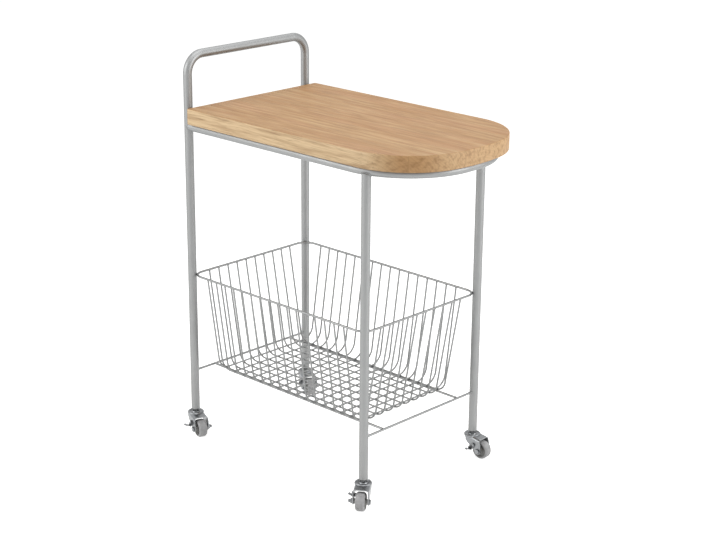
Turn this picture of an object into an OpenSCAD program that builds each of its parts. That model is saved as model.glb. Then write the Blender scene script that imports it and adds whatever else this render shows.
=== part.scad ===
// Serving trolley: a bent steel tube frame that carries a thick solid oak top
// with a rounded end, a fixed wire basket low between the legs, and a braked
// swivel castor under each leg.
//
// Axes: +X runs from the push handle to the rounded end, +Y to the left of a
// person pushing, +Z up. The floor is Z = 0. The origin lies under the middle
// of the bounding box with the castors as stored.

/* [Overall] */
// Height of the upper face of the worktop
top_z = 752; // [700:1:850]
// Height of the centre line of the handle bar
bar_z = 861; // [830:1:980]
// Distance between leg centre lines along the length
leg_pitch_x = 522; // [460:1:600]
// Distance between leg centre lines across the width
leg_pitch_y = 347; // [345:1:349]

/* [Tube frame] */
// Outer diameter of the frame tubes
tube_d = 19; // [17:0.5:20]
// Outer diameter of the ring tube under the top and of its crossbar
ring_d = 18; // [16:0.5:18]
// Wall thickness of the frame tubes
tube_wall = 1.5; // [1:0.25:2.5]
// Bend radius of the handle hoop on the tube's centre line
hoop_bend_r = 40; // [30:1:60]

/* [Worktop] */
// Thickness of the oak top
top_t = 34; // [24:1:40]
// Width of the oak top
top_w = 382; // [376:1:400]
// Gap between the straight end of the top and the hoop tubes
top_gap = 5.5; // [1:0.5:12]
// How far the rounded end reaches past the front legs
top_overhang = 139.5; // [120:0.5:180]
// Radius of the two large corners of the rounded end
top_corner_r = 150; // [120:1:152]
// How far the broad front curve bulges past those corners
top_bulge = 3.5; // [1:0.5:8]
// Bend radius of the tube under the rounded end, on its centre line
ring_bend_r = 158; // [150:1:168]
// How far that tube's centre line stays inside the tip of the top
ring_tip_in = 20.5; // [18.5:0.5:26]

/* [Basket] */
// Height of the centre of the basket's rim wire
rim_z = 376; // [320:1:420]
// Height of the centre of the two rods that carry the basket's floor
rod_z = 149.5; // [120:0.5:170]
// Diameter of the rim wire and of the carrying rods
rod_d = 5; // [4:0.25:6]
// Diameter of the basket wires
wire_d = 3.8; // [3:0.1:4.2]
// Wires that run along the trolley
long_wires = 10; // [6:1:10]
// Spacing of the wires that run along the trolley
long_pitch = 27.35; // [20:0.05:27.5]
// Wires that run across the trolley
cross_wires = 16; // [8:1:16]
// Spacing of the wires that run across the trolley
cross_pitch = 27.45; // [20:0.05:27.8]
// How far the wire net sits off the middle of the rim, along the trolley
net_shift_x = -3.5; // [-4:0.5:4]
// How far the wire net sits off the middle of the rim, across the trolley
net_shift_y = -2; // [-2:0.5:2]
// Inward lean of the basket's long side walls, as a share of their height
side_lean = 0.146; // [0.12:0.002:0.16]
// Inward lean of the basket's end walls, as a share of their height
end_lean = 0.182; // [0.16:0.002:0.2]
// Radius where the wires turn from floor to side wall
side_bend_r = 31; // [26:1:36]
// Radius where the wires turn from floor to end wall
end_bend_r = 26; // [22:1:30]

/* [Castors] */
// Wheel diameter
wheel_d = 40; // [38:1:40]
// Wheel width
wheel_w = 21; // [18:0.5:21]
// Distance from the swivel axis to the wheel's axle
trail = 27; // [26:0.5:28]
// Height of the open lower end of the leg tubes
leg_foot_z = 59; // [58:1:62]
// Direction in which the right castor at the handle end trails
trail_rear_right = -19; // [-180:1:180]
// Direction in which the left castor at the handle end trails
trail_rear_left = -24; // [-180:1:180]
// Direction in which the right castor at the rounded end trails
trail_front_right = -56; // [-180:1:180]
// Direction in which the left castor at the rounded end trails
trail_front_left = 3; // [-180:1:180]

/* [Hidden] */
$fn = 64;

// Frame
leg_x = leg_pitch_x / 2;
leg_y = leg_pitch_y / 2;
tube_r = tube_d / 2;
bore_d = tube_d - 2 * tube_wall;
ring_r = ring_d / 2;
ring_bore_d = ring_d - 2 * tube_wall;
bite = 0.2; // how far welded pieces run into each other
ring_z = top_z - top_t - ring_r;

// Worktop outline: straight sides, two corner arcs and one broad front arc
top_half = top_w / 2;
top_end_x = -leg_x + tube_r + top_gap;
top_tip_x = leg_x + top_overhang;
corner_x = top_tip_x - top_corner_r - top_bulge;
corner_y = top_half - top_corner_r;
cap_len = top_tip_x - corner_x;
front_r = (pow(cap_len, 2) + pow(corner_y, 2) - pow(top_corner_r, 2)) / (2 * (cap_len - top_corner_r));
front_x = top_tip_x - front_r;
front_half_angle = atan2(corner_y, corner_x - front_x);

// Screwed tabs that hold the top: position along the ring and side
tab_t = 3;
tab_w = 22;
tab_reach = 30;
tab_hole_d = 4.5;
tab_start = sqrt(pow(ring_r, 2) - pow(ring_r - tab_t, 2)) - bite;
tab_x = [-190, 0, 190];
screw_d = 4;
screw_len = 22;
screw_head_d = 8.5;
screw_head_t = 2.4;
pilot_d = 3.9;

// Basket. The long wires lie under the cross wires, which lie on the runners.
rod_r = rod_d / 2;
wire_r = wire_d / 2;
set_down = 0.3;    // how far crossed wires sink into each other where welded
runner_y = 116;
runner_z = rod_z + 1.5;
wire_top_z = rim_z - rod_r + 0.6;
cross_floor_z = runner_z + rod_r + wire_r - bite;
long_floor_z = cross_floor_z - wire_d + set_down;
bend_swell = 0.04;
bend_lap = 0.4;

// Half length of a basket wire's flat floor part.
function flat_half(rim_half, floor_z, lean, r) =
    rim_half - lean * (rim_z - floor_z) - r * tan((90 - atan(lean)) / 2);

// Height of a floor bend of radius r, at a distance past the start of the bend.
function bend_rise(past, r) = past <= 0 ? 0 : r - sqrt(pow(r, 2) - pow(past, 2));

// Rim: its corner radius, to half a millimetre, lets the corners bite into the legs.
rim_x = leg_x - 1;
rim_y = leg_y + 0.5;
rim_meet = tube_r + rod_r - 0.25; // from a leg's axis to the rim's centre line
rim_sum = rim_meet + (rim_y - leg_y) - (leg_x - rim_x);
rim_corner_r = round(2 * (rim_sum + sqrt(pow(rim_sum, 2) + pow(rim_meet, 2)
    - pow(leg_x - rim_x, 2) - pow(rim_y - leg_y, 2)))) / 2;
side_flat = flat_half(rim_y, cross_floor_z, side_lean, side_bend_r);
end_flat = flat_half(rim_x, long_floor_z, end_lean, end_bend_r);

// Castor, in its own frame: it swivels about Z and trails along +X
axle_z = wheel_d / 2;
axle_d = 6;
fit = 0.1;       // diametral play of the turning pins
gap = 0.3;       // play between parts that pass each other
plate_t = 2;
plate_front = 6; // how far the plates reach in front of the swivel axis
fork_in = 15;
fork_out = fork_in + plate_t;
crown_r = 18.3;
crown_z = 49.5;  // underside of the crown
crown_t = 2;
crown_top = crown_z + crown_t + 0.9;
skirt_z = 44;
skirt_r = 16.9;
hood_end = 31;
hood_drop = 8;   // degrees that the hood slopes down to its end
shoulder = 7;    // outer radius of the hood's two long edges
stem_d = 8;
stem_up = 24;
hex_d = 13.4; // width across the corners of the stem's hexagon
flange_t = 1.4;
tyre_in_r = 16.3;
tread_half = 4.5;
shoulder_r = wheel_w / 2 - tread_half;
pivot_x = 16;    // brake pivot
pivot_z = 33;
pivot_d = 4;
lever_t = 1.5;
lever_in = fork_out + 0.4;
lever_out = lever_in + lever_t;
jaw_x = 3.4;     // the lever's jaw, in front of the tread
jaw_half = 8;
tab_tip = 30;    // how far the foot tab reaches to the side
tab_rise = 27;   // degrees

// Where the middle of the bounding box lies, measured from the middle of the
// legs. Across the width it follows from the stored directions of the castors.
box_mid_x = (top_tip_x - leg_x - crown_r) / 2;
box_mid_y = -7.5;

steel_grey = [0.74, 0.75, 0.75];
zinc = [0.66, 0.67, 0.68];
oak = [0.80, 0.63, 0.43];
rubber_grey = [0.56, 0.56, 0.55];
hub_grey = [0.70, 0.70, 0.69];

// ---------- placing ----------

// Moves a piece from the middle of the legs to the part's own origin.
module at_origin() {
    translate([-box_mid_x, -box_mid_y, 0]) children();
}

// Places a castor piece under one leg, turned to its stored direction.
module at_castor(side_x, side_y, direction) {
    at_origin() translate([side_x * leg_x, side_y * leg_y, 0])
        rotate([0, 0, direction]) children();
}
module at_rear_right() { at_castor(-1, -1, trail_rear_right) children(); }
module at_rear_left() { at_castor(-1, 1, trail_rear_left) children(); }
module at_front_right() { at_castor(1, -1, trail_front_right) children(); }
module at_front_left() { at_castor(1, 1, trail_front_left) children(); }

// ---------- round bar shapes ----------

// Bar of diameter d bent about Z from angle a to angle b.
module bend(r, d, a, b) {
    rotate([0, 0, a]) rotate_extrude(angle = b - a) translate([r, 0]) circle(d = d);
}

// Straight bar along X between two x positions.
module bar_x(d, x0, x1) {
    translate([x0, 0, 0]) rotate([0, 90, 0]) cylinder(d = d, h = x1 - x0);
}

// Straight bar along Y between two y positions.
module bar_y(d, y0, y1) {
    translate([0, y0, 0]) rotate([-90, 0, 0]) cylinder(d = d, h = y1 - y0);
}

// U-shaped basket wire in the XZ plane: floor, two bends, two leaning walls.
// Its straight lengths run a little way into the bends, which are a hair thicker.
module u_wire(rim_half, floor_z, lean, r) {
    flat = flat_half(rim_half, floor_z, lean, r);
    lean_angle = atan(lean);
    wall_len = (wire_top_z - floor_z - r * (1 - sin(lean_angle))) / cos(lean_angle);
    translate([0, 0, floor_z]) bar_x(wire_d, -flat - bend_lap, flat + bend_lap);
    for (s = [0, 1]) mirror([s, 0, 0]) translate([flat, 0, floor_z + r]) {
        rotate([90, 0, 0]) bend(r, wire_d + bend_swell, -90, -lean_angle);
        rotate([0, lean_angle, 0]) translate([r, 0, -bend_lap])
            cylinder(d = wire_d, h = wall_len + bend_lap);
    }
}

// ---------- top ----------

// Outline of the top, moved inward by inset.
module top_outline(inset = 0) {
    r = top_corner_r - inset;
    translate([top_end_x, -top_half + inset]) square([corner_x - top_end_x, top_w - 2 * inset]);
    for (s = [-1, 1]) translate([corner_x, s * corner_y]) circle(r = r, $fn = 96);
    intersection() {
        translate([front_x, 0]) circle(r = front_r - inset, $fn = 128);
        polygon([
            [front_x, 0],
            [front_x + 2 * front_r, 2 * front_r * tan(front_half_angle)],
            [front_x + 2 * front_r, -2 * front_r * tan(front_half_angle)]
        ]);
    }
}

// Where the tabs sit: [x, y, direction that the tab points].
tab_places = concat(
    [for (x = tab_x, s = [-1, 1]) [x, s * leg_y, -s * 90]],
    [[top_tip_x - ring_tip_in, 0, 180]]
);

module at_tabs() {
    for (p = tab_places) translate([p[0], p[1], 0]) rotate([0, 0, p[2]]) children();
}

module worktop() {
    color(oak) at_origin() difference() {
        translate([0, 0, top_z - top_t]) linear_extrude(top_t) top_outline();
        at_tabs() translate([tab_reach - 9, 0, top_z - top_t - 1])
            cylinder(d = pilot_d, h = screw_len - tab_t + 2, $fn = 24);
    }
}

module mounting_tabs() {
    color(steel_grey) at_origin() difference() {
        at_tabs() translate([0, 0, top_z - top_t - tab_t]) linear_extrude(tab_t) difference() {
            union() {
                translate([tab_start, -tab_w / 2]) square([tab_reach - tab_w / 2 - tab_start, tab_w]);
                translate([tab_reach - tab_w / 2, 0]) circle(d = tab_w);
            }
            translate([tab_reach - 9, 0]) circle(d = tab_hole_d, $fn = 24);
        }
    }
}

module top_screws() {
    color(zinc) at_origin() at_tabs() translate([tab_reach - 9, 0, top_z - top_t - tab_t]) {
        cylinder(d = screw_d, h = screw_len, $fn = 24);
        translate([0, 0, -screw_head_t]) difference() {
            cylinder(d = screw_head_d, h = screw_head_t, $fn = 32);
            translate([0, 0, -1]) for (a = [0, 90]) rotate([0, 0, a])
                translate([-2.4, -0.6, 0]) cube([4.8, 1.2, 2.4]);
        }
    }
}

// ---------- tube frame ----------

// Both rear legs and the handle, one bent tube. over lengthens its open ends.
module hoop_path(d, over = 0) {
    run = bar_z - hoop_bend_r - leg_foot_z;
    for (s = [0, 1]) mirror([0, s, 0]) {
        translate([-leg_x, leg_y, leg_foot_z - over]) cylinder(d = d, h = run + over);
        translate([-leg_x, leg_y - hoop_bend_r, bar_z - hoop_bend_r]) rotate([90, 0, 90])
            bend(hoop_bend_r, d, 0, 90);
    }
    translate([-leg_x, 0, bar_z]) bar_y(d, hoop_bend_r - leg_y, leg_y - hoop_bend_r);
}

// The tube that runs under the edge of the top, from one hoop leg round to the other.
module ring_path(d) {
    bend_x = top_tip_x - ring_tip_in - ring_bend_r;
    bend_y = leg_y - ring_bend_r;
    translate([0, 0, ring_z]) {
        for (s = [0, 1]) mirror([0, s, 0]) {
            translate([0, leg_y, 0]) bar_x(d, -leg_x, bend_x);
            translate([bend_x, bend_y, 0]) bend(ring_bend_r, d, 0, 90);
        }
        translate([bend_x + ring_bend_r, 0, 0]) bar_y(d, -bend_y, bend_y);
    }
}

// Solid bars in the place of the hoop's legs, for coping what is welded to them.
module hoop_legs_for_coping() {
    for (s = [-1, 1]) translate([-leg_x, s * leg_y, 0])
        cylinder(r = tube_r - bite, h = bar_z - hoop_bend_r);
}

module hoop_tube() {
    color(steel_grey) at_origin() difference() {
        hoop_path(tube_d);
        hoop_path(bore_d, 1);
    }
}

module ring_tube() {
    color(steel_grey) at_origin() difference() {
        ring_path(ring_d);
        ring_path(ring_bore_d);
        hoop_legs_for_coping();
    }
}

// Crossbar between the rear legs, coped to them and to the ring.
module rear_crossbar() {
    color(steel_grey) at_origin() difference() {
        translate([-leg_x, 0, ring_z]) bar_y(ring_d, -leg_y, leg_y);
        translate([-leg_x, 0, ring_z]) bar_y(ring_bore_d, -leg_y, leg_y);
        hoop_legs_for_coping();
        for (s = [-1, 1]) translate([0, s * leg_y, ring_z])
            bar_x(ring_d - 2 * bite, -leg_x, tube_d - leg_x);
    }
}

// Front leg, coped to the ring above it.
module front_leg(side) {
    saddle = 3; // how far the leg's end stays below the ring's centre line
    color(steel_grey) at_origin() translate([leg_x, side * leg_y, 0]) difference() {
        translate([0, 0, leg_foot_z]) cylinder(d = tube_d, h = ring_z - saddle - leg_foot_z);
        translate([0, 0, leg_foot_z - 1]) cylinder(d = bore_d, h = ring_z - leg_foot_z);
        translate([0, 0, ring_z]) bar_x(ring_d - 2 * bite, -tube_d, tube_d);
    }
}
module front_leg_right() { front_leg(-1); }
module front_leg_left() { front_leg(1); }

// Plugs in the lower ends of the legs that take the castor stems.
module stem_sockets() {
    play = 0.1;
    color(rubber_grey) at_origin() for (sx = [-1, 1], sy = [-1, 1])
        translate([sx * leg_x, sy * leg_y, 0]) difference() {
            union() {
                translate([0, 0, leg_foot_z - flange_t]) cylinder(d = tube_d - 1, h = flange_t);
                translate([0, 0, leg_foot_z]) cylinder(d = bore_d - play, h = stem_up + 2);
            }
            translate([0, 0, leg_foot_z - flange_t - 1]) cylinder(d = stem_d, h = stem_up + flange_t + 1);
        }
}

// ---------- basket ----------

module basket_rim() {
    straight_x = rim_x - rim_corner_r;
    straight_y = rim_y - rim_corner_r;
    color(steel_grey) at_origin() translate([0, 0, rim_z]) {
        for (s = [-1, 1]) {
            translate([0, s * rim_y, 0]) bar_x(rod_d, -straight_x, straight_x);
            translate([s * rim_x, 0, 0]) bar_y(rod_d, -straight_y, straight_y);
        }
        for (i = [0:3]) {
            sx = i == 0 || i == 3 ? 1 : -1;
            sy = i < 2 ? 1 : -1;
            translate([sx * straight_x, sy * straight_y, 0])
                bend(rim_corner_r, rod_d, 90 * i, 90 * i + 90);
        }
    }
}

// The outermost wires of each set lie higher, on the curve of the set they cross.
module basket_long_wires() {
    color(steel_grey) at_origin() for (i = [0:long_wires - 1]) {
        y = (i - (long_wires - 1) / 2) * long_pitch + net_shift_y;
        translate([0, y, 0])
            u_wire(rim_x, long_floor_z + bend_rise(abs(y) - side_flat, side_bend_r), end_lean, end_bend_r);
    }
}

module basket_cross_wires() {
    color(steel_grey) at_origin() for (i = [0:cross_wires - 1]) {
        x = (i - (cross_wires - 1) / 2) * cross_pitch + net_shift_x;
        translate([x, 0, 0]) rotate([0, 0, 90])
            u_wire(rim_y, cross_floor_z + bend_rise(abs(x) - end_flat, end_bend_r), side_lean, side_bend_r);
    }
}

// The two bars lengthwise under the basket's floor.
module basket_runners() {
    reach = leg_x - rod_r + 4 * bite;
    color(steel_grey) at_origin() for (s = [-1, 1])
        translate([0, s * runner_y, runner_z]) bar_x(rod_d, -reach, reach);
}

// Rod from leg to leg that carries one end of the runners.
module carrying_rod(end) {
    reach = leg_y - tube_r + 2 * bite;
    color(steel_grey) at_origin() translate([end * leg_x, 0, rod_z]) bar_y(rod_d, -reach, reach);
}
module basket_rod_rear() { carrying_rod(-1); }
module basket_rod_front() { carrying_rod(1); }

// ---------- castor ----------

// Fixed stem: pin in the leg's socket, hexagon above the crown, riveted head below it.
module castor_stem() {
    color(zinc) {
        translate([0, 0, crown_z - gap - 3]) cylinder(d = stem_d, h = leg_foot_z + stem_up - crown_z + gap + 3);
        translate([0, 0, crown_top + gap])
            cylinder(d = hex_d, h = leg_foot_z - flange_t - crown_top - gap, $fn = 6);
        translate([0, 0, crown_z - gap - 3]) cylinder(d = 12.5, h = 3);
    }
}

// Side view of the fork's plates and hood.
module fork_side() {
    polygon([
        [-plate_front, crown_z + 0.7], [hood_end, crown_z + 0.7], [hood_end, 42], [33, 36], [34.5, 30],
        [34.5, axle_z], [19.5, axle_z], [5.5, 30], [-1, 34.5], [-plate_front, 41]
    ]);
    translate([trail, axle_z]) circle(r = 7.5);
}

// Bar with the fork's end view, its two upper edges rounded by r. It slopes down
// with the hood, and drop is how far it lies below the hood's upper face.
module fork_bar(half, r, drop) {
    translate([0, 0, crown_z + crown_t]) rotate([0, hood_drop, 0])
        rotate([90, 0, 90]) linear_extrude(160, center = true) translate([0, -drop]) {
            translate([-half, -60]) square([2 * half, 60 - r]);
            translate([r - half, -r - 1]) square([2 * (half - r), r + 1]);
            for (s = [-1, 1]) translate([s * (half - r), -r]) circle(r = r);
        }
}

// Pressed crown, still solid: raised rim, sunk race and a short skirt.
module crown() {
    rotate_extrude() polygon([
        [0, skirt_z], [0, crown_top], [8.6, crown_top], [9.8, crown_z + 1.1], [13.4, crown_z + 1.1],
        [14.6, crown_top - 0.2], [16.4, crown_top - 0.3], [crown_r, crown_z + 0.8],
        [crown_r, crown_z - 1.5], [skirt_r, skirt_z]
    ]);
}

module castor_fork() {
    color(zinc) difference() {
        union() {
            intersection() {
                rotate([90, 0, 0]) linear_extrude(4 * fork_out, center = true) fork_side();
                fork_bar(fork_out, shoulder, 0);
            }
            crown();
        }
        intersection() {
            fork_bar(fork_in, shoulder - plate_t, plate_t);
            translate([-plate_front - 0.6, -2 * fork_out, 0]) cube([80, 4 * fork_out, crown_z]);
        }
        translate([0, 0, skirt_z - 1]) cylinder(r = skirt_r - 1.2 * plate_t, h = crown_z - skirt_z + 1);
        translate([0, 0, crown_z - 20]) cylinder(d = stem_d + fit, h = 40);
        translate([trail, 0, axle_z]) bar_y(axle_d, -40, 40);
        translate([pivot_x, 0, pivot_z]) bar_y(pivot_d, -40, 0);
    }
}

// Axle bolt. side is 1 where its threaded end and nut are on the left, -1 on the right.
module castor_axle(side) {
    nut_d = 11;
    nut_t = 4.6;
    head_t = 3.4;
    thread_end = 9; // how far the thread stands out of the fork
    seat = 0.05;
    color(zinc) translate([trail, 0, axle_z]) mirror([0, side < 0 ? 1 : 0, 0]) {
        bar_y(axle_d - fit / 2, -fork_out - thread_end, fork_out + 1);
        translate([0, fork_out + seat, 0]) rotate([-90, 0, 0]) cylinder(d = nut_d, h = head_t, $fn = 6);
        translate([0, -fork_out - nut_t - seat, 0]) rotate([-90, 0, 0]) cylinder(d = nut_d, h = nut_t, $fn = 6);
    }
}

// Moulded wheel centre: long boss, deep recess and thin rim.
module castor_hub() {
    half = fork_in - gap - 0.1;
    rim_half = wheel_w / 2 - 1.1;
    web_half = 3;
    color(hub_grey) translate([trail, 0, axle_z]) rotate([90, 0, 0]) rotate_extrude() polygon([
        [(axle_d + fit) / 2, -half], [5.6, -half], [6.4, -web_half], [14.4, -web_half], [15, -rim_half],
        [tyre_in_r - 0.03, -rim_half], [tyre_in_r - 0.03, rim_half], [15, rim_half],
        [14.4, web_half], [6.4, web_half], [5.6, half], [(axle_d + fit) / 2, half]
    ]);
}

// Tyre with a flat tread and round shoulders.
module castor_tyre() {
    core_r = wheel_d / 2 - shoulder_r;
    color(rubber_grey) translate([trail, 0, axle_z]) rotate([90, 0, 0]) rotate_extrude() difference() {
        union() {
            for (s = [-1, 1]) translate([core_r, s * tread_half]) circle(r = shoulder_r, $fn = 48);
            translate([core_r - 1, -tread_half]) square([shoulder_r + 1, 2 * tread_half]);
        }
        translate([0, -wheel_w]) square([tyre_in_r, 2 * wheel_w]);
    }
}

// Brake lever: an ear on the pivot, a jaw in front of the tread and a foot tab
// with its front edge folded down.
module castor_brake() {
    jaw_z = 18.5;
    jaw_h = 8;
    tab_depth = 8.5;
    fold = 3;
    tab_len = (tab_tip - lever_out) / cos(tab_rise);
    color(zinc) difference() {
        union() {
            translate([0, -lever_in, 0]) rotate([90, 0, 0]) linear_extrude(lever_t) {
                translate([pivot_x, pivot_z]) circle(r = 4.4);
                polygon([
                    [jaw_x, jaw_z], [12.2, jaw_z + 1.5], [19.3, 30.2], [13, 36.2], [jaw_x, jaw_z + jaw_h]
                ]);
            }
            translate([jaw_x, -lever_out, jaw_z]) cube([lever_t, lever_out + jaw_half, jaw_h]);
            translate([jaw_x, -lever_out + 0.4, jaw_z + 2]) rotate([-tab_rise, 0, 0]) {
                translate([0, -tab_len - 0.4, 0]) cube([tab_depth, tab_len + 0.4, lever_t]);
                translate([0, -tab_len - 0.4, -fold]) cube([lever_t, tab_len - fold, fold + lever_t]);
            }
        }
        translate([pivot_x, 0, pivot_z]) bar_y(pivot_d + fit, -40, 0);
    }
}

// Rivet that the brake lever turns on.
module castor_rivet() {
    color(zinc) translate([pivot_x, 0, pivot_z]) {
        bar_y(pivot_d - fit / 2, -lever_out - gap - 1, -fork_in);
        bar_y(7, -lever_out - gap - 1.2, -lever_out - gap);
    }
}

module rear_right_stem() { at_rear_right() castor_stem(); }
module rear_right_fork() { at_rear_right() castor_fork(); }
module rear_right_axle() { at_rear_right() castor_axle(-1); }
module rear_right_hub() { at_rear_right() castor_hub(); }
module rear_right_tyre() { at_rear_right() castor_tyre(); }
module rear_right_brake() { at_rear_right() castor_brake(); }
module rear_right_rivet() { at_rear_right() castor_rivet(); }
module rear_left_stem() { at_rear_left() castor_stem(); }
module rear_left_fork() { at_rear_left() castor_fork(); }
module rear_left_axle() { at_rear_left() castor_axle(-1); }
module rear_left_hub() { at_rear_left() castor_hub(); }
module rear_left_tyre() { at_rear_left() castor_tyre(); }
module rear_left_brake() { at_rear_left() castor_brake(); }
module rear_left_rivet() { at_rear_left() castor_rivet(); }
module front_right_stem() { at_front_right() castor_stem(); }
module front_right_fork() { at_front_right() castor_fork(); }
module front_right_axle() { at_front_right() castor_axle(1); }
module front_right_hub() { at_front_right() castor_hub(); }
module front_right_tyre() { at_front_right() castor_tyre(); }
module front_right_brake() { at_front_right() castor_brake(); }
module front_right_rivet() { at_front_right() castor_rivet(); }
module front_left_stem() { at_front_left() castor_stem(); }
module front_left_fork() { at_front_left() castor_fork(); }
module front_left_axle() { at_front_left() castor_axle(-1); }
module front_left_hub() { at_front_left() castor_hub(); }
module front_left_tyre() { at_front_left() castor_tyre(); }
module front_left_brake() { at_front_left() castor_brake(); }
module front_left_rivet() { at_front_left() castor_rivet(); }

worktop();
hoop_tube();
ring_tube();
rear_crossbar();
front_leg_right();
front_leg_left();
mounting_tabs();
top_screws();
stem_sockets();
basket_rim();
basket_long_wires();
basket_cross_wires();
basket_runners();
basket_rod_rear();
basket_rod_front();
rear_right_stem();
rear_right_fork();
rear_right_axle();
rear_right_hub();
rear_right_tyre();
rear_right_brake();
rear_right_rivet();
rear_left_stem();
rear_left_fork();
rear_left_axle();
rear_left_hub();
rear_left_tyre();
rear_left_brake();
rear_left_rivet();
front_right_stem();
front_right_fork();
front_right_axle();
front_right_hub();
front_right_tyre();
front_right_brake();
front_right_rivet();
front_left_stem();
front_left_fork();
front_left_axle();
front_left_hub();
front_left_tyre();
front_left_brake();
front_left_rivet();
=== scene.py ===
"""Looks of a serving trolley: solid oak top, satin steel tube frame, wire basket and zinc-plated castors."""

import logging
import math
import random
from dataclasses import dataclass, field
from enum import Enum

import bpy
from mathutils import Matrix, Vector


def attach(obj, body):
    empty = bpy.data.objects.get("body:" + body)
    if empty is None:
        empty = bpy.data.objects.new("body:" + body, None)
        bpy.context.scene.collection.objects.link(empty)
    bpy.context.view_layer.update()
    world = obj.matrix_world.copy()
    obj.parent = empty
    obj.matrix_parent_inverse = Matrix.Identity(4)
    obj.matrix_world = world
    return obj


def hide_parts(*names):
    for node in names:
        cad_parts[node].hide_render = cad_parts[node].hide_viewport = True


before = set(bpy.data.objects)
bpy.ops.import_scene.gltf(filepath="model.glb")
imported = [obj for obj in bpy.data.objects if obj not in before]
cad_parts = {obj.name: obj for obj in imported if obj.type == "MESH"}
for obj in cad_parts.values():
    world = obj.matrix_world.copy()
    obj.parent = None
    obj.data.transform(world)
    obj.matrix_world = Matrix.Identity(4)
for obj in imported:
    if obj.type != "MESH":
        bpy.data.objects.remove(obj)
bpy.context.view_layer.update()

logging.basicConfig(level=logging.INFO, format="%(message)s")
log = logging.getLogger("trolley")

MM = 0.001


class Axis(Enum):
    """Direction of a tube, or of the grain in a surface."""

    X = 0
    Y = 1
    Z = 2


# ---------------------------------------------------------------- helpers


def linear(colour: str) -> tuple[float, float, float, float]:
    """Turns an sRGB colour into the linear values that a shader works in.

    Args:
        colour: The colour as "#rrggbb".

    Returns:
        Red, green, blue and an alpha of 1.
    """
    parts = [int(colour[i : i + 2], 16) / 255 for i in (1, 3, 5)]
    r, g, b = (c / 12.92 if c <= 0.04045 else ((c + 0.055) / 1.055) ** 2.4 for c in parts)
    return (r, g, b, 1.0)


def shaded(colour: str, factor: float) -> tuple[float, float, float, float]:
    """Turns an sRGB colour into linear values and makes it lighter or darker.

    Args:
        colour: The colour as "#rrggbb".
        factor: What its linear values are multiplied by.

    Returns:
        Red, green, blue and an alpha of 1.
    """
    return tuple(min(1.0, c * factor) for c in linear(colour)[:3]) + (1.0,)


def add(tree: bpy.types.NodeTree, kind: str, inputs: dict | None = None, **settings: object) -> bpy.types.Node:
    """Adds one node with its settings and links.

    Args:
        tree: The node tree that gets the node.
        kind: Blender's name for the kind of node.
        inputs: Value, or socket to link from, for each input by name or index.
        **settings: Properties of the node.

    Returns:
        The new node.
    """
    made = tree.nodes.new(kind)
    for name, value in settings.items():
        setattr(made, name, value)
    for key, value in (inputs or {}).items():
        if isinstance(value, bpy.types.NodeSocket):
            tree.links.new(value, made.inputs[key])
        else:
            made.inputs[key].default_value = value
    return made


def new_material(name: str) -> tuple[bpy.types.Material, bpy.types.NodeTree]:
    """Makes an empty node material.

    Args:
        name: The material's name.

    Returns:
        The material and its node tree.
    """
    material = bpy.data.materials.new(name)
    material.use_nodes = True
    material.node_tree.nodes.clear()
    return material, material.node_tree


def seen_share(tree: bpy.types.NodeTree) -> bpy.types.NodeSocket:
    """Adds nodes that tell rays of sight from rays of light.

    Args:
        tree: The node tree that gets the nodes.

    Returns:
        A socket that is 1 for camera, glossy and transmission rays, and 0 for others.
    """
    path = add(tree, "ShaderNodeLightPath").outputs
    seen = path["Is Camera Ray"]
    for kind in ("Is Glossy Ray", "Is Transmission Ray"):
        seen = add(tree, "ShaderNodeMath", {0: seen, 1: path[kind]}, operation="MAXIMUM").outputs[0]
    return seen


def make_piece(
    name: str,
    points: list[Vector],
    faces: list[tuple[int, ...]],
    material: bpy.types.Material,
    body: str,
    flat_faces: int = 0,
) -> bpy.types.Object:
    """Makes a mesh piece that rides on a body.

    Args:
        name: The piece's name.
        points: Its points in the part's frame, in metres.
        faces: Its faces as indices of points.
        material: Its material.
        body: The CAD body that it rides on.
        flat_faces: How many of its last faces are shaded flat.

    Returns:
        The new object.
    """
    mesh = bpy.data.meshes.new(name)
    mesh.from_pydata([tuple(p) for p in points], [], faces)
    mesh.update()
    smooth = [i < len(faces) - flat_faces for i in range(len(faces))]
    mesh.polygons.foreach_set("use_smooth", smooth)
    mesh.materials.append(material)
    piece = bpy.data.objects.new(name, mesh)
    bpy.context.scene.collection.objects.link(piece)
    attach(piece, body)
    return piece


def dress(node: str, material: bpy.types.Material) -> None:
    """Gives a CAD node its material.

    Args:
        node: The node's name.
        material: The material for all of it.
    """
    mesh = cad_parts[node].data
    if mesh.materials:
        for i in range(len(mesh.materials)):
            mesh.materials[i] = material
    else:
        mesh.materials.append(material)


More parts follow.
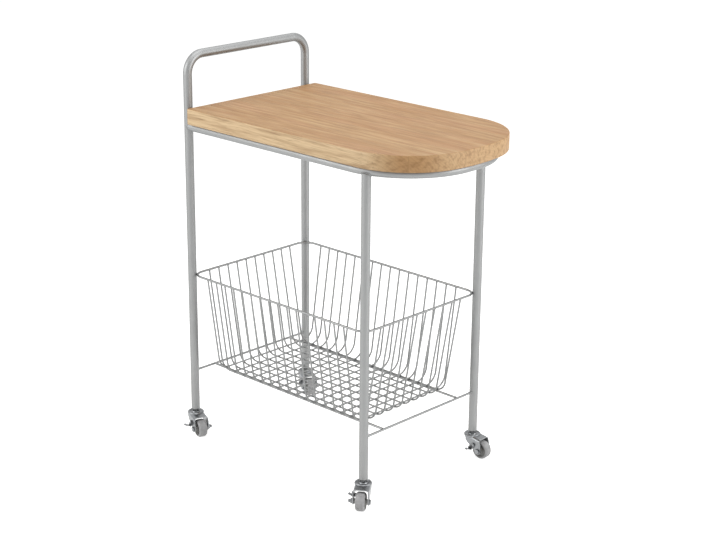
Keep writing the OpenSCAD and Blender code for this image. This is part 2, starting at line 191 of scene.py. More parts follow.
@dataclass
class Skin:
    """Points and faces gathered for one mesh."""

    points: list[Vector] = field(default_factory=list)
    faces: list[tuple[int, ...]] = field(default_factory=list)

    def sweep(self, path: list[Vector], radii: list[float], sides: int = 8, closed: bool = True) -> None:
        """Adds a round bead that follows a path.

        Args:
            path: The points of the bead's centre line.
            radii: The bead's radius at each point.
            sides: Number of points round the bead.
            closed: Whether the path returns to its first point.
        """
        start, count = len(self.points), len(path)
        side = None
        for i, point in enumerate(path):
            ahead = path[(i + 1) % count] if closed or i + 1 < count else point
            behind = path[i - 1] if closed or i else point
            along = (ahead - behind).normalized()
            if side is None:
                side = along.orthogonal().normalized()
            side = (side - along * side.dot(along)).normalized()
            up = along.cross(side)
            for k in range(sides):
                a = 2 * math.pi * k / sides
                self.points.append(point + (side * math.cos(a) + up * math.sin(a)) * radii[i])
        shift = 0
        if closed:  # turn the last joint so that its points meet those of the first
            first = self.points[start] - path[0]
            gaps = [(self.points[start + (count - 1) * sides + k] - path[-1] - first).length for k in range(sides)]
            shift = gaps.index(min(gaps))
        for i in range(count if closed else count - 1):
            last = closed and i == count - 1
            for k in range(sides):
                a, b = start + i * sides, start + ((i + 1) % count) * sides
                k2 = (k + 1) % sides
                m, m2 = ((k - shift) % sides, (k2 - shift) % sides) if last else (k, k2)
                self.faces.append((a + k, a + k2, b + m2, b + m))

    def blob(self, centre: Vector, size: Vector, turn: Matrix | None = None, rings: int = 4, sides: int = 8) -> None:
        """Adds a flattened drop of weld metal.

        Args:
            centre: Its middle.
            size: Its half sizes along its own axes.
            turn: How its axes are turned.
            rings: Rings of points from pole to pole.
            sides: Points in a ring.
        """
        start = len(self.points)
        turn = turn or Matrix.Identity(3)
        ball = [(0, 0, -1)]
        for i in range(1, rings):
            t = math.pi * i / rings
            for k in range(sides):
                a = 2 * math.pi * k / sides
                ball.append((math.sin(t) * math.cos(a), math.sin(t) * math.sin(a), -math.cos(t)))
        ball.append((0, 0, 1))
        self.points += [centre + turn @ Vector((x * size.x, y * size.y, z * size.z)) for x, y, z in ball]
        top = len(self.points) - 1
        for k in range(sides):
            k2 = (k + 1) % sides
            self.faces.append((start, start + 1 + k2, start + 1 + k))
            self.faces.append((top, top - sides + k, top - sides + k2))
            for i in range(rings - 2):
                a, b = start + 1 + i * sides, start + 1 + (i + 1) * sides
                self.faces.append((a + k, a + k2, b + k2, b + k))


# ---------------------------------------------------------------- finishes


@dataclass(frozen=True)
class OiledOak:
    """Solid European oak, glued up from staves, sanded along the grain and oiled: pale tan, with growth rings that
    differ from stave to stave, brown streaks, short dark pores, and a dull sheen. Its sawn sides carry painted light,
    a lighter tone where the lamps fall on them more than on the top. End grain drinks the oil and turns deeper, and
    painted shade keeps slanted end grain darker than end grain cut square."""

    light: str = "#c4a477"
    middle: str = "#a57c4f"
    dark: str = "#8a633a"
    pink: str = "#b2845d"
    pore: str = "#705030"
    # painted light: the lighter tone painted on the sawn sides, which the lamps light more than the top
    painted_side_light: str = "#e6cba1"
    end_tone: str = "#ad7b44"
    stave_mm: float = 47.8
    ring_mm: float = 5.0  # real rings are 2 to 3 mm, drawn wider so that they show at this size
    sweep_mm: float = 26.0
    ripple_mm: float = 9.0
    streak_mm: float = 16.0
    brown_mm: float = 8.0
    fibre_mm: float = 2.0
    pore_mm: float = 1.3
    log_length_mm: float = 3100.0  # staves are cut from places up to this far apart
    pith_y_mm: float = 75.0  # the pith lies up to this far to either side of a stave
    pith_z_mm: tuple[float, float] = (655.0, 700.0)  # and between these heights
    grain_lean: float = 0.05
    side_light_share: float = 0.71  # how much of the painted side light a sawn edge takes
    soaking: float = 0.72  # how much of the end tone end grain takes
    square_end_share: float = 0.58  # the share of it left on end grain cut square, so that slanted end grain stays darker, painted shade
    rosy: float = 0.6
    browning: float = 0.6
    ring_mix: tuple[float, float] = (0.40, 0.26)  # on the faces, and on the sawn edges
    pore_mix: tuple[float, float] = (0.5, 0.12)  # along the grain, and on end grain
    glue_mix: float = 0.35
    relief_mm: float = 0.3

    def make(self) -> bpy.types.Material:
        """Builds the material.

        Returns:
            The oak material, in the part's own coordinates with its grain along X.
        """
        material, t = new_material("oiled_oak_staves")
        coords = add(t, "ShaderNodeTexCoord")
        place = coords.outputs["Object"]
        faces = add(t, "ShaderNodeSeparateXYZ", {0: coords.outputs["Normal"]})
        flat = add(t, "ShaderNodeMath", {0: faces.outputs["Z"]}, operation="ABSOLUTE").outputs[0]
        ends = add(t, "ShaderNodeMath", {0: faces.outputs["X"]}, operation="ABSOLUTE").outputs[0]
        edge_share = add(t, "ShaderNodeMapRange", {0: flat, 1: 0.35, 2: 0.9, 3: 1.0, 4: 0.0}).outputs[0]
        end_share = add(t, "ShaderNodeMapRange", {0: ends, 1: 0.15, 2: 0.6}).outputs[0]

        xyz = add(t, "ShaderNodeSeparateXYZ", {0: place})
        staves = 1 / (self.stave_mm * MM)
        across = add(t, "ShaderNodeMath", {0: xyz.outputs["Y"], 1: staves}, operation="MULTIPLY").outputs[0]
        stave = add(t, "ShaderNodeMath", {0: across}, operation="FLOOR").outputs[0]
        inside = add(t, "ShaderNodeMath", {0: across}, operation="FRACT").outputs[0]
        dice = add(t, "ShaderNodeTexWhiteNoise", {"W": stave}, noise_dimensions="1D")
        roll = add(t, "ShaderNodeSeparateColor", {0: dice.outputs["Color"]})
        far = (self.log_length_mm * MM, 0.0, 0.0)
        jump = add(t, "ShaderNodeVectorMath", {0: dice.outputs["Color"], 1: far}, operation="MULTIPLY").outputs[0]
        moved = add(t, "ShaderNodeVectorMath", {0: place, 1: jump}, operation="ADD").outputs[0]

        # Growth rings: distance from a pith that runs along X, at its own place for each stave. The log sweeps to
        # and fro over a hand's length, which draws arches on the sawn edge.
        swings = []
        for scale, reach_mm in (((2.6, 9.0, 9.0), self.sweep_mm), ((11.0, 26.0, 26.0), self.ripple_mm)):
            bend_in = add(t, "ShaderNodeVectorMath", {0: moved, 1: scale}, operation="MULTIPLY").outputs[0]
            bend = add(t, "ShaderNodeTexNoise", {"Vector": bend_in, "Scale": 1.0, "Detail": 2.0}).outputs[0]
            bent = add(t, "ShaderNodeMath", {0: bend, 1: 0.5}, operation="SUBTRACT").outputs[0]
            swings.append(add(t, "ShaderNodeMath", {0: bent, 1: reach_mm * MM}, operation="MULTIPLY").outputs[0])
        aside, (low, high) = self.pith_y_mm * MM, (z * MM for z in self.pith_z_mm)
        pith_y = add(t, "ShaderNodeMapRange", {0: roll.outputs[0], 3: -aside, 4: aside}).outputs[0]
        pith_z = add(t, "ShaderNodeMapRange", {0: roll.outputs[1], 3: low, 4: high}).outputs[0]
        stave_y = add(t, "ShaderNodeMath", {0: inside, 1: self.stave_mm * MM}, operation="MULTIPLY").outputs[0]
        dy = add(t, "ShaderNodeMath", {0: stave_y, 1: pith_y}, operation="SUBTRACT").outputs[0]
        dz = add(t, "ShaderNodeMath", {0: xyz.outputs["Z"], 1: pith_z}, operation="SUBTRACT").outputs[0]
        lean = add(t, "ShaderNodeMapRange", {0: roll.outputs[2], 3: -self.grain_lean, 4: self.grain_lean}).outputs[0]
        slope = add(t, "ShaderNodeMath", {0: xyz.outputs["X"], 1: lean, 2: dy}, operation="MULTIPLY_ADD").outputs[0]
        off = add(t, "ShaderNodeCombineXYZ", {1: slope, 2: dz}).outputs[0]
        radius = add(t, "ShaderNodeVectorMath", {0: off}, operation="LENGTH").outputs["Value"]
        swung = add(t, "ShaderNodeMath", {0: radius, 1: swings[0]}, operation="ADD").outputs[0]
        waved = add(t, "ShaderNodeMath", {0: swung, 1: swings[1]}, operation="ADD").outputs[0]
        rings = add(t, "ShaderNodeMath", {0: waved, 1: 1 / (self.ring_mm * MM)}, operation="MULTIPLY").outputs[0]
        phase = add(t, "ShaderNodeMath", {0: rings}, operation="FRACT").outputs[0]
        late = add(t, "ShaderNodeMath", {0: phase, 1: 2.2}, operation="POWER").outputs[0]
        soft = add(t, "ShaderNodeMapRange", {0: phase, 1: 0.9, 2: 1.0, 3: 1.0, 4: 0.0}).outputs[0]
        ring = add(t, "ShaderNodeMath", {0: late, 1: soft}, operation="MULTIPLY").outputs[0]

        # Streaks and fibres are noise drawn out along X; the pores are its darkest ends.
        noises = []
        sizes = (
            (0.10, self.streak_mm, 3.0),
            (0.07, self.brown_mm, 3.0),
            (0.02, self.fibre_mm, 2.0),
            (0.035, self.pore_mm, 1.0),
        )
        for stretch, size_mm, detail in sizes:
            fine = 1 / (size_mm * MM)
            scale = (fine * stretch, fine, fine)
            grown = add(t, "ShaderNodeVectorMath", {0: moved, 1: scale}, operation="MULTIPLY").outputs[0]
            noises.append(add(t, "ShaderNodeTexNoise", {"Vector": grown, "Scale": 1.0, "Detail": detail}).outputs[0])
        streak, brown, fibre, pore = noises
        pores = add(t, "ShaderNodeMapRange", {0: pore, 1: 0.60, 2: 0.72}).outputs[0]
        patch_in = add(t, "ShaderNodeVectorMath", {0: moved, 1: (3.5, 14.0, 14.0)}, operation="MULTIPLY").outputs[0]
        patch = add(t, "ShaderNodeTexNoise", {"Vector": patch_in, "Scale": 1.0, "Detail": 2.0}).outputs[0]

        tone_a = add(t, "ShaderNodeMapRange", {0: streak, 1: 0.34, 2: 0.66}).outputs[0]
        tone_b = add(t, "ShaderNodeMath", {0: roll.outputs[2], 1: 0.25, 2: 0.1}, operation="MULTIPLY_ADD").outputs[0]
        tone_c = add(t, "ShaderNodeMath", {0: tone_a, 1: 0.70, 2: tone_b}, operation="MULTIPLY_ADD").outputs[0]
        tone_d = add(
            t, "ShaderNodeMath", {0: fibre, 1: 0.25, 2: tone_c}, operation="MULTIPLY_ADD", use_clamp=True
        ).outputs[0]
        light, middle, dark = linear(self.light), linear(self.middle), linear(self.dark)
        ground = add(t, "ShaderNodeMix", {0: tone_d, 6: light, 7: middle}, data_type="RGBA").outputs[2]
        rosy = add(t, "ShaderNodeMapRange", {0: patch, 1: 0.45, 2: 0.7, 3: 0.0, 4: self.rosy}).outputs[0]
        warm = add(t, "ShaderNodeMix", {0: rosy, 6: ground, 7: linear(self.pink)}, data_type="RGBA").outputs[2]
        # Painted light: the sawn sides are painted lighter than the top, as the lamps light them more.
        side_light_mix = add(t, "ShaderNodeMath", {0: edge_share, 1: self.side_light_share}, operation="MULTIPLY").outputs[0]
        side_lit_wood = add(t, "ShaderNodeMix", {0: side_light_mix, 6: warm, 7: linear(self.painted_side_light)}, data_type="RGBA").outputs[2]
        # End grain turns deeper with the oil it soaks up; painted shade keeps slanted end grain darker than end grain
        # cut square.
        slant_shade = add(t, "ShaderNodeMapRange", {0: ends, 1: 0.8, 2: 1.0, 3: 1.0, 4: self.square_end_share}).outputs[0]
        soaked = add(t, "ShaderNodeMath", {0: end_share, 1: edge_share}, operation="MULTIPLY").outputs[0]
        soaked = add(t, "ShaderNodeMath", {0: soaked, 1: slant_shade}, operation="MULTIPLY").outputs[0]
        oiled = add(t, "ShaderNodeMath", {0: soaked, 1: self.soaking}, operation="MULTIPLY").outputs[0]
        deeper = add(t, "ShaderNodeMix", {0: oiled, 6: side_lit_wood, 7: linear(self.end_tone)}, data_type="RGBA").outputs[2]
        browned = add(t, "ShaderNodeMapRange", {0: brown, 1: 0.46, 2: 0.70, 3: 0.0, 4: self.browning}).outputs[0]
        streaked = add(t, "ShaderNodeMix", {0: browned, 6: deeper, 7: dark}, data_type="RGBA").outputs[2]
        drawn = add(t, "ShaderNodeMapRange", {0: edge_share, 3: self.ring_mix[0], 4: self.ring_mix[1]}).outputs[0]
        ring_mix = add(t, "ShaderNodeMath", {0: ring, 1: drawn}, operation="MULTIPLY").outputs[0]
        ringed = add(t, "ShaderNodeMix", {0: ring_mix, 6: streaked, 7: dark}, data_type="RGBA").outputs[2]
        pore_share = add(t, "ShaderNodeMapRange", {0: end_share, 3: self.pore_mix[0], 4: self.pore_mix[1]}).outputs[0]
        pore_mix = add(t, "ShaderNodeMath", {0: pores, 1: pore_share}, operation="MULTIPLY").outputs[0]
        pored = add(t, "ShaderNodeMix", {0: pore_mix, 6: ringed, 7: linear(self.pore)}, data_type="RGBA").outputs[2]
        edge = add(t, "ShaderNodeMath", {0: inside, 1: 0.5}, operation="SUBTRACT").outputs[0]
        edge = add(t, "ShaderNodeMath", {0: edge}, operation="ABSOLUTE").outputs[0]
        glue = add(t, "ShaderNodeMapRange", {0: edge, 1: 0.490, 2: 0.498}).outputs[0]
        glue_mix = add(t, "ShaderNodeMath", {0: glue, 1: self.glue_mix}, operation="MULTIPLY").outputs[0]
        wood = add(t, "ShaderNodeMix", {0: glue_mix, 6: pored, 7: dark}, data_type="RGBA").outputs[2]

        raised = add(t, "ShaderNodeMath", {0: ring, 1: -0.5, 2: fibre}, operation="MULTIPLY_ADD").outputs[0]
        raised = add(t, "ShaderNodeMath", {0: pores, 1: -1.2, 2: raised}, operation="MULTIPLY_ADD").outputs[0]
        relief = self.relief_mm * MM
        bump = add(t, "ShaderNodeBump", {"Height": raised, "Strength": 0.35, "Distance": relief}).outputs[0]
        dull = add(t, "ShaderNodeMapRange", {0: streak, 3: 0.5, 4: 0.62}).outputs[0]
        shader = add(t, "ShaderNodeBsdfPrincipled", {"Base Color": wood, "Roughness": dull, "Normal": bump, "IOR": 1.5})
        add(t, "ShaderNodeOutputMaterial", {0: shader.outputs[0]})
        return material


@dataclass(frozen=True)
class SatinSteel:
    """Steel with a satin ground surface: mid grey, with soft reflections that grain finer than a hair breaks up along
    the tube, and faint clouds where the belt pressed more or less."""

    name: str = "satin_steel_tube"
    colour: str = "#929393"
    grain: Axis = Axis.Z
    roughness: float = 0.48
    grain_mm: float = 0.5  # real scratches are some 0.05 mm apart, drawn coarser so that they show
    grain_length_mm: float = 30.0
    depth_mm: float = 0.02

    def make(self) -> bpy.types.Material:
        """Builds the material.

        Returns:
            The steel material.
        """
        material, t = new_material(self.name)
        place = add(t, "ShaderNodeTexCoord").outputs["Object"]
        scale = [1 / (self.grain_mm * MM)] * 3
        scale[self.grain.value] = 1 / (self.grain_length_mm * MM)
        drawn = add(t, "ShaderNodeVectorMath", {0: place, 1: tuple(scale)}, operation="MULTIPLY").outputs[0]
        scratch = add(t, "ShaderNodeTexNoise", {"Vector": drawn, "Scale": 1.0, "Detail": 2.0}).outputs[0]
        cloud = add(t, "ShaderNodeTexNoise", {"Vector": place, "Scale": 24.0, "Detail": 3.0}).outputs[0]
        smooth, coarse = self.roughness - 0.04, self.roughness + 0.05
        rough = add(t, "ShaderNodeMapRange", {0: cloud, 1: 0.3, 2: 0.7, 3: smooth, 4: coarse}).outputs[0]
        rough = add(t, "ShaderNodeMath", {0: scratch, 1: 0.06, 2: rough}, operation="MULTIPLY_ADD").outputs[0]
        deep, pale = shaded(self.colour, 0.92), shaded(self.colour, 1.06)
        mixed = add(t, "ShaderNodeMix", {0: scratch, 6: deep, 7: pale}, data_type="RGBA").outputs[2]
        depth = self.depth_mm * MM
        bump = add(t, "ShaderNodeBump", {"Height": scratch, "Strength": 0.25, "Distance": depth}).outputs[0]
        finish = {"Base Color": mixed, "Metallic": 1.0, "Roughness": rough, "Normal": bump}
        shader = add(t, "ShaderNodeBsdfPrincipled", finish)
        add(t, "ShaderNodeOutputMaterial", {0: shader.outputs[0]})
        return material


@dataclass(frozen=True)
class ZincPlate:
    """Pressed steel with bright zinc plating: bluish grey, fairly sharp reflections over slightly uneven sheet, duller
    and painted darker in its hollows, painted shade where the parts close in on each other."""

    name: str = "bright_zinc_plated_steel"
    colour: str = "#8e9092"
    dull: str = "#6c6e70"
    # painted shade: the dark tone painted into the hollows
    hollow_shade_tone: str = "#33322f"
    roughness: float = 0.30
    hollow_mm: float = 6.0
    uneven_mm: float = 0.2

    def make(self) -> bpy.types.Material:
        """Builds the material.

        Returns:
            The plated steel material.
        """
        material, t = new_material(self.name)
        place = add(t, "ShaderNodeTexCoord").outputs["Object"]
        spangle = add(t, "ShaderNodeTexVoronoi", {"Vector": place, "Scale": 420.0}, feature="F1")
        cloud = add(t, "ShaderNodeTexNoise", {"Vector": place, "Scale": 160.0, "Detail": 3.0}).outputs[0]
        smooth, coarse = self.roughness - 0.05, self.roughness + 0.1
        rough = add(t, "ShaderNodeMapRange", {0: cloud, 1: 0.3, 2: 0.7, 3: smooth, 4: coarse}).outputs[0]
        tone = add(t, "ShaderNodeMapRange", {0: spangle.outputs["Color"], 3: 0.86, 4: 1.0}).outputs[0]
        dull, bright = linear(self.dull), linear(self.colour)
        base = add(t, "ShaderNodeMix", {0: tone, 6: dull, 7: bright}, data_type="RGBA").outputs[2]
        reach = {"Distance": self.hollow_mm * MM}
        # Painted shade: ambient occlusion finds the hollows, which are painted towards the dark tone and made rougher.
        hollow = add(t, "ShaderNodeAmbientOcclusion", reach, samples=8, only_local=False).outputs["AO"]
        painted_shade = add(t, "ShaderNodeMapRange", {0: hollow, 1: 0.15, 2: 0.85, 3: 0.85, 4: 0.0}).outputs[0]
        darkened = add(t, "ShaderNodeMix", {0: painted_shade, 6: base, 7: linear(self.hollow_shade_tone)}, data_type="RGBA").outputs[2]
        rough = add(t, "ShaderNodeMath", {0: painted_shade, 1: 0.3, 2: rough}, operation="MULTIPLY_ADD").outputs[0]
        bump = add(t, "ShaderNodeBump", {"Height": cloud, "Strength": 0.15, "Distance": self.uneven_mm * MM}).outputs[0]
        finish = {"Base Color": darkened, "Metallic": 1.0, "Roughness": rough, "Normal": bump}
        shader = add(t, "ShaderNodeBsdfPrincipled", finish)
        add(t, "ShaderNodeOutputMaterial", {0: shader.outputs[0]})
        return material


@dataclass(frozen=True)
class Moulded:
    """Injection-moulded plastic or rubber with the fine spark texture of its mould: soft, wide sheen and faint
    mottling of the pigment."""

    name: str
    colour: str
    roughness: float
    ior: float = 1.5
    spark_mm: float = 0.35
    depth_mm: float = 0.03
    scuff: float = 0.0
    scuff_tone: str = "#434343"

    def make(self) -> bpy.types.Material:
        """Builds the material.

        Returns:
            The moulded material.
        """
        material, t = new_material(self.name)
        place = add(t, "ShaderNodeTexCoord").outputs["Object"]
        sparks = 1 / (self.spark_mm * MM)
        spark = add(t, "ShaderNodeTexNoise", {"Vector": place, "Scale": sparks, "Detail": 2.0}).outputs[0]
        mottle = add(t, "ShaderNodeTexNoise", {"Vector": place, "Scale": 90.0, "Detail": 4.0}).outputs[0]
        pale, dark = linear(self.colour), shaded(self.colour, 0.86)
        tone = add(t, "ShaderNodeMapRange", {0: mottle, 1: 0.35, 2: 0.65}).outputs[0]
        base = add(t, "ShaderNodeMix", {0: tone, 6: pale, 7: dark}, data_type="RGBA").outputs[2]
        darkened = add(t, "ShaderNodeMapRange", {0: mottle, 1: 0.5, 2: 0.7, 3: 0.0, 4: self.scuff}).outputs[0]
        base = add(t, "ShaderNodeMix", {0: darkened, 6: base, 7: linear(self.scuff_tone)}, data_type="RGBA").outputs[2]
        rough = add(t, "ShaderNodeMapRange", {0: mottle, 3: self.roughness - 0.05, 4: self.roughness + 0.08}).outputs[0]
        bump = add(t, "ShaderNodeBump", {"Height": spark, "Strength": 0.4, "Distance": self.depth_mm * MM}).outputs[0]
        finish = {"Base Color": base, "Roughness": rough, "Normal": bump, "IOR": self.ior}
        shader = add(t, "ShaderNodeBsdfPrincipled", finish)
        add(t, "ShaderNodeOutputMaterial", {0: shader.outputs[0]})
        return material


# ---------------------------------------------------------------- sizes


@dataclass(frozen=True)
class Plan:
    """Main sizes of the trolley in millimetres, from the middle of its legs, and the way into the part's frame."""

    mid_x: float = 60.6
    mid_y: float = -7.5
    leg_x: float = 261.0
    leg_y: float = 173.5
    tube_r: float = 9.5
    ring_r: float = 9.0
    top_z: float = 752.0
    top_t: float = 34.0
    ring_z: float = 709.0
    rod_z: float = 149.5
    rod_r: float = 2.5
    rim_z: float = 376.0

    def at(self, x: float, y: float, z: float) -> Vector:
        """Turns a point in millimetres from the middle of the legs into metres in the part's frame."""
        return Vector(((x - self.mid_x) * MM, (y - self.mid_y) * MM, z * MM))


# ---------------------------------------------------------------- sub-assemblies


@dataclass
class Worktop:
    """The oak top, with eased edges."""

    plan: Plan
    wood: bpy.types.Material
    half: float = 191.0
    end_x: float = -246.0
    tip_x: float = 400.5
    corner_r: float = 150.0
    bulge: float = 3.5
    ease: float = 1.6
    small_r: float = 3.0

    def outline(self, inset: float) -> list[tuple[float, float]]:
        """Goes once round the top's edge.

        Args:
            inset: How far inside the edge the line runs.

        Returns:
            Points x, y in millimetres, always the same number of them.
        """
        corner_x = self.tip_x - self.corner_r - self.bulge
        corner_y = self.half - self.corner_r
        cap = self.tip_x - corner_x
        front_r = (cap**2 + corner_y**2 - self.corner_r**2) / (2 * (cap - self.corner_r))
        front_x = self.tip_x - front_r
        turn = math.degrees(math.atan2(corner_y, corner_x - front_x))
        inner = self.small_r
        arcs = [
            (self.end_x + inner, -self.half + inner, inner, 180, 270, 6),
            (corner_x, -corner_y, self.corner_r, -90, -turn, 48),
            (front_x, 0.0, front_r, -turn, turn, 24),
            (corner_x, corner_y, self.corner_r, turn, 90, 48),
            (self.end_x + inner, self.half - inner, inner, 90, 180, 6),
        ]
        points = []
        for x, y, r, a0, a1, steps in arcs:
            for i in range(steps + 1):
                a = math.radians(a0 + (a1 - a0) * i / steps)
                point = (x + (r - inset) * math.cos(a), y + (r - inset) * math.sin(a))
                if not points or math.dist(points[-1], point) > 0.01:
                    points.append(point)
        return points

    def build(self) -> None:
        """Builds the board in the place of the CAD one."""
        plan, e = self.plan, self.ease
        low, high = plan.top_z - plan.top_t, plan.top_z
        steps = [math.radians(90 * i / 4) for i in range(5)]
        profile = [(e - e * math.sin(a), low + e - e * math.cos(a)) for a in steps]
        profile += [(e - e * math.cos(a), high - e + e * math.sin(a)) for a in steps]
        points, faces = [], []
        for inset, z in profile:
            points += [plan.at(x, y, z) for x, y in self.outline(inset)]
        n = len(points) // len(profile)
        for i in range(len(profile) - 1):
            for k in range(n):
                a, b = i * n + k, i * n + (k + 1) % n
                faces.append((a, b, b + n, a + n))
        faces.append(tuple(reversed(range(n))))
        faces.append(tuple(range((len(profile) - 1) * n, len(profile) * n)))
        board = make_piece("oak_board", points, faces, self.wood, "frame", flat_faces=2)
        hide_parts("worktop")
        log.info("oak board: %d points", len(points))


@dataclass
class TubeFrame:
    """Hoop with the handle, ring, crossbar, front legs and what holds the top."""

    plan: Plan
    leg_steel: bpy.types.Material
    bar_steel: bpy.types.Material
    side_steel: bpy.types.Material
    zinc: bpy.types.Material
    plug: bpy.types.Material
    bead_r: float = 1.1
    rod_bead_r: float = 0.8
    bead_steps: int = 48
    saddle_end: float = 3.0  # the front legs end this far below the ring's centre line
    bend_x: float = 222.0  # where the ring's corner bends begin
    bend_r: float = 158.0
    lid_inset: float = 0.08
    lid_ease: float = 0.8
    lid_crown: float = 0.05
    rim_touch: tuple[float, float] = (6.8, 6.4)  # from a leg's centre line to where the rim's corner touches it
    rim_bead: tuple[float, float, float] = (1.2, 3.2, 1.3)
    rim_bead_rise: float = 2.2

    def build(self) -> None:
        """Dresses the CAD tubes and adds the weld beads."""
        for node in ("hoop_tube", "front_leg_right", "front_leg_left"):
            dress(node, self.leg_steel)
        dress("rear_crossbar", self.bar_steel)
        dress("ring_tube", self.side_steel)
        dress("mounting_tabs", self.side_steel)
        dress("top_screws", self.zinc)
        dress("stem_sockets", self.plug)
        self.weld_joints()

    def bead_size(self, bead_r: float, turn: float) -> float:
        """Gives a bead's rippled radius, in metres, at an angle round the joint."""
        return bead_r * (1 + 0.12 * math.sin(9 * turn)) * MM

    def saddle(
        self,
        skin: Skin,
        main: Axis,
        branch: Axis,
        joint: Vector,
        sign: int,
        main_r: float,
        branch_r: float,
        bead_r: float,
    ) -> None:
        """Adds the bead round a bar that ends on the side of a tube.

        Args:
            skin: Where the bead goes.
            main: The tube's direction.
            branch: The bar's direction.
            joint: Point where the centre lines cross, in millimetres from the middle of the legs.
            sign: Which way along its axis the bar leaves the tube.
            main_r: The tube's radius.
            branch_r: The bar's radius.
            bead_r: The bead's radius.
        """
        side = 3 - main.value - branch.value
        path, radii = [], []
        for i in range(self.bead_steps):
            a = 2 * math.pi * i / self.bead_steps
            off = Vector((0, 0, 0))
            off[side] = branch_r * math.cos(a)
            off[main.value] = branch_r * math.sin(a)
            off[branch.value] = sign * math.sqrt(max(self.saddle_end**2, main_r**2 - off[side] ** 2))
            path.append(self.plan.at(*(joint + off)))
            radii.append(self.bead_size(bead_r, a))
        skin.sweep(path, radii)

    def front_leg_top(self, skin: Skin, s: int) -> None:
        """Adds the lid that closes a front leg, and the bead along the ring, which is already bending inwards there.

        Args:
            skin: Where both go.
            s: The trolley's side, -1 or 1.
        """
        p, steps, ease = self.plan, self.bead_steps, self.lid_ease
        middle_y = p.leg_y - self.bend_r
        widest = math.sqrt(p.ring_r**2 - self.saddle_end**2)
        path, radii = [], []
        for i in range(steps):
            a = 2 * math.pi * i / steps
            x = p.leg_x + p.tube_r * math.cos(a) - self.bend_x
            y = p.leg_y + p.tube_r * math.sin(a) - middle_y
            reach = math.hypot(x, y)
            off = min(reach - self.bend_r, widest)
            scale = (self.bend_r + off) / reach
            z = p.ring_z - math.sqrt(p.ring_r**2 - off**2)
            path.append(p.at(self.bend_x + x * scale, s * (middle_y + y * scale), z))
            radii.append(self.bead_size(self.bead_r, a))
        skin.sweep(path, radii)
        top, lid_r = p.ring_z - self.saddle_end, p.tube_r - self.lid_inset
        lid = [
            (top - p.tube_r, lid_r),
            (top - ease, lid_r),
            (top - 0.3 * ease, lid_r - 0.3 * ease),
            (top, lid_r - ease),
            (top + self.lid_crown, 0.1),
        ]
        spine = [p.at(p.leg_x, s * p.leg_y, z) for z, _ in lid]
        skin.sweep(spine, [r * MM for _, r in lid], sides=steps, closed=False)

    def weld_joints(self) -> None:
        """Adds the beads where tubes and rods meet."""
        p, skin = self.plan, Skin()
        for s in (-1, 1):
            rear = Vector((-p.leg_x, s * p.leg_y, p.ring_z))
            self.saddle(skin, Axis.Z, Axis.X, rear, 1, p.tube_r, p.ring_r, self.bead_r)
            self.saddle(skin, Axis.Z, Axis.Y, rear, -s, p.tube_r, p.ring_r, self.bead_r)
            self.front_leg_top(skin, s)
            for e in (-1, 1):
                foot = Vector((e * p.leg_x, s * p.leg_y, p.rod_z))
                self.saddle(skin, Axis.Z, Axis.Y, foot, -s, p.tube_r, p.rod_r, self.rod_bead_r)
                # the rim's corner lies against the inner side of the leg
                touch_x, touch_y = e * (p.leg_x - self.rim_touch[0]), s * (p.leg_y - self.rim_touch[1])
                turn = Matrix.Rotation(math.radians(45 * e * -s), 3, "Z")
                for z in (-self.rim_bead_rise, self.rim_bead_rise):
                    skin.blob(p.at(touch_x, touch_y, p.rim_z + z), Vector(self.rim_bead) * MM, turn)
        make_piece("frame_weld_beads", skin.points, skin.faces, self.side_steel, "frame")
        log.info("frame weld beads: %d points", len(skin.points))


